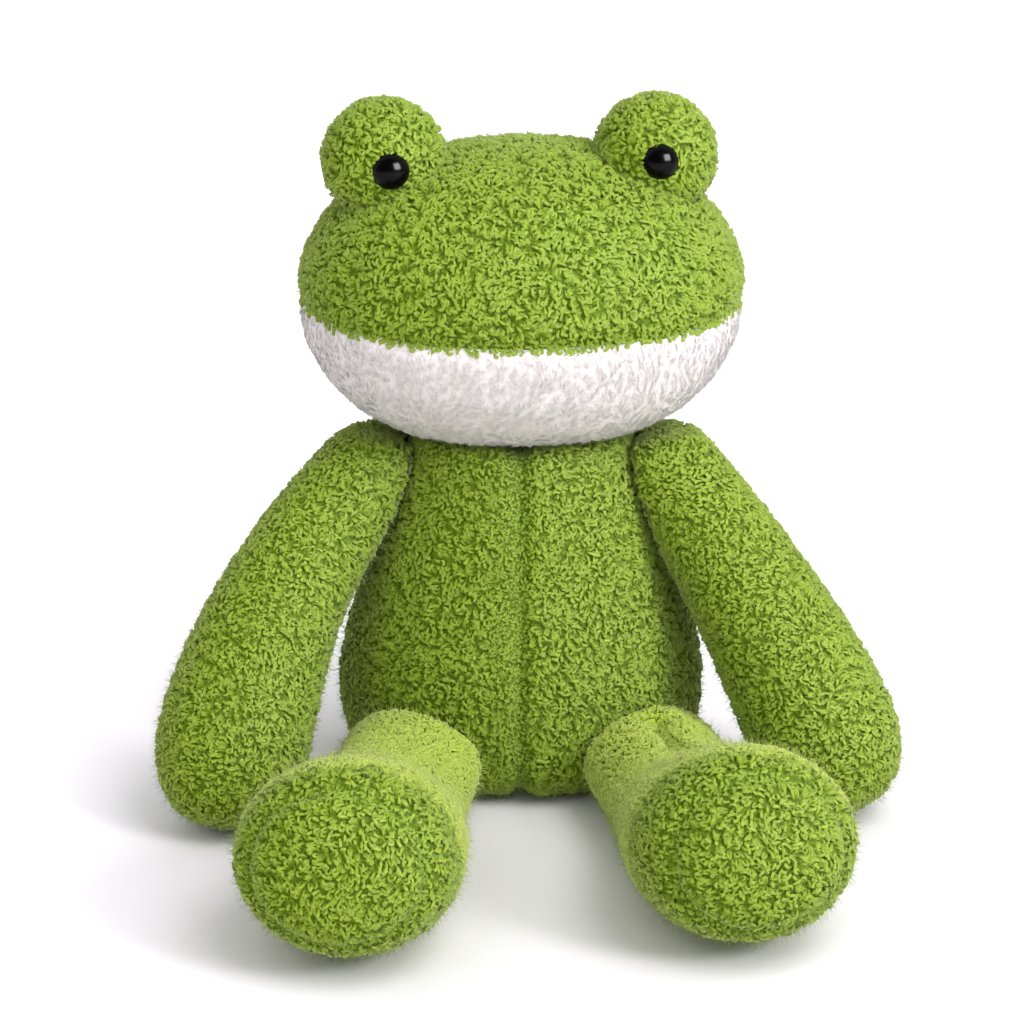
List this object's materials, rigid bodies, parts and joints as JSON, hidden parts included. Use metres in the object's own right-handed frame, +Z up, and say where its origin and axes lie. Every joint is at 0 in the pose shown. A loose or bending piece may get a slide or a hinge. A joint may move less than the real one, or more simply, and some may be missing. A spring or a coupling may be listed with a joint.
{
  "type": "plush frog",
  "caption": "Sitting plush frog with round eyes on its crown, a white muzzle, a head that turns, and arms and legs that lift.",
  "frame": {"origin": "middle of the base panel's underside, on the surface that the frog sits on", "axes": "+Z up, -Y the way the frog faces and its legs point, +X the frog's own left"},
  "size_m": [0.2658, 0.2866, 0.2505],
  "materials": {
    "green_plush": "matte",
    "white_plush": "matte",
    "eye_black": "gloss",
    "washer_plastic": "matte",
    "fibre_filling": "matte",
    "pellet_pouch": "matte"
  },
  "bodies": {
    "body": {"body_panel_left": "green_plush", "body_panel_right": "green_plush", "seat_panel": "green_plush", "seat_pouch": "pellet_pouch", "body_stuffing": "fibre_filling"},
    "head": {"head_crown": "green_plush", "head_muzzle": "white_plush", "head_stuffing": "fibre_filling", "eye_dome_left": "green_plush", "eye_dome_right": "green_plush", "eye_dome_stuffing_left": "fibre_filling", "eye_dome_stuffing_right": "fibre_filling", "eye_bead_left": "eye_black", "eye_bead_right": "eye_black", "eye_washer_left": "washer_plastic", "eye_washer_right": "washer_plastic"},
    "arm_left": {"arm_cover_left": "green_plush", "arm_stuffing_left": "fibre_filling"},
    "arm_right": {"arm_cover_right": "green_plush", "arm_stuffing_right": "fibre_filling"},
    "leg_left": {"leg_cover_left": "green_plush", "leg_stuffing_left": "fibre_filling", "sole_panel_left": "green_plush"},
    "leg_right": {"leg_cover_right": "green_plush", "leg_stuffing_right": "fibre_filling", "sole_panel_right": "green_plush"}
  },
  "joints": [
    {"name": "head_turn", "type": "hinge", "parent": "body", "child": "head", "pos_m": [0, 0, 0.128], "axis": [0, 0, 1], "range_deg": [-30, 30], "stiffness_Nm_per_rad": 0.05},
    {"name": "arm_left_lift", "type": "hinge", "parent": "body", "child": "arm_left", "pos_m": [0.052, 0, 0.14], "axis": [0, -1, 0], "range_deg": [0, 45]},
    {"name": "arm_right_lift", "type": "hinge", "parent": "body", "child": "arm_right", "pos_m": [-0.052, 0, 0.14], "axis": [0, 1, 0], "range_deg": [0, 45]},
    {"name": "leg_left_lift", "type": "hinge", "parent": "body", "child": "leg_left", "pos_m": [0.042, -0.048, 0.045], "axis": [-1, 0, 0], "range_deg": [0, 60]},
    {"name": "leg_right_lift", "type": "hinge", "parent": "body", "child": "leg_right", "pos_m": [-0.036, -0.048, 0.045], "axis": [-1, 0, 0], "range_deg": [0, 60]}
  ]
}
